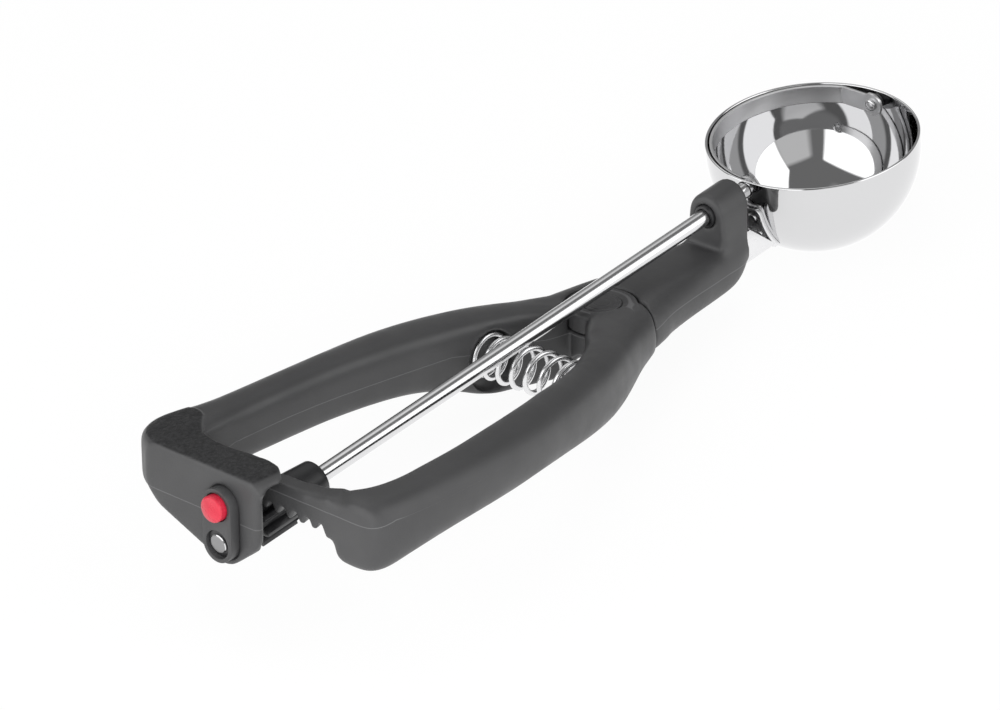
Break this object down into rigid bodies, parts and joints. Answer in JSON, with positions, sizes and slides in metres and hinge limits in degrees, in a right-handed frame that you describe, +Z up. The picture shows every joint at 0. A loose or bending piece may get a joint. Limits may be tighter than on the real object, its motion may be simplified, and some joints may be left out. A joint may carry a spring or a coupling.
{
  "type": "ice cream scoop",
  "caption": "Lever ice cream scoop: squeezing the hinged plastic handle turns a shaft that sweeps a scraper round a polished steel bowl.",
  "frame": {"origin": "the bowl's centre, on the shaft's axis", "axes": "+X along the shaft from the handles to the bowl's far side, +Z up out of the bowl's mouth, +Y towards the fixed grip"},
  "size_m": [0.2573, 0.0781, 0.047],
  "materials": {
    "charcoal_plastic": "fine grained satin",
    "black_plastic": "smooth satin",
    "red_plastic": "glossy",
    "polished_steel": "mirror polished stainless",
    "spring_steel": "bright drawn wire"
  },
  "bodies": {
    "handle": {"main_handle": "charcoal_plastic", "pivot_pin": "spring_steel", "pivot_washer": "spring_steel", "return_spring": "spring_steel", "front_bush": "black_plastic", "rear_bush": "black_plastic", "scraper_pin": "polished_steel", "pin_spacer": "black_plastic", "bowl": "polished_steel", "bowl_bracket": "polished_steel", "weld_spots": "polished_steel", "latch_block": "charcoal_plastic", "button_spring": "spring_steel", "thrust_washer": "spring_steel"},
    "lever": {"squeeze_lever": "charcoal_plastic", "pivot_cap": "charcoal_plastic"},
    "drive": {"shaft": "polished_steel", "pinion": "black_plastic", "drive_pin": "spring_steel", "scraper": "polished_steel", "scraper_rivet": "polished_steel"},
    "button": {"release_button": "red_plastic"},
    "latch": {"latch_plate": "spring_steel"}
  },
  "joints": [
    {"name": "lever_hinge", "type": "hinge", "parent": "handle", "child": "lever", "pos_m": [-0.0866, 0, -0.0074], "axis": [-0.1305, 0, -0.9914], "range_deg": [0, 8.25], "stiffness_Nm_per_rad": 4, "springref_deg": -5.73, "deforming": ["return_spring"]},
    {"name": "shaft_turn", "type": "hinge", "parent": "handle", "child": "drive", "pos_m": [0, 0, 0], "axis": [1, 0, 0], "range_deg": [-180, 0]},
    {"name": "button_slide", "type": "slide", "parent": "handle", "child": "button", "axis": [0.9914, 0, -0.1305], "range_m": [0, 0.0015], "stiffness_N_per_m": 600, "springref_m": -0.002, "deforming": ["button_spring"]},
    {"name": "latch_slide", "type": "slide", "parent": "handle", "child": "latch", "axis": [0.1305, 0, 0.9914], "range_m": [0, 0.001]}
  ],
  "couplings": [
    {"joint": "shaft_turn", "follows": "lever_hinge", "ratio": -21.771},
    {"joint": "latch_slide", "follows": "button_slide", "ratio": 0.6667}
  ]
}
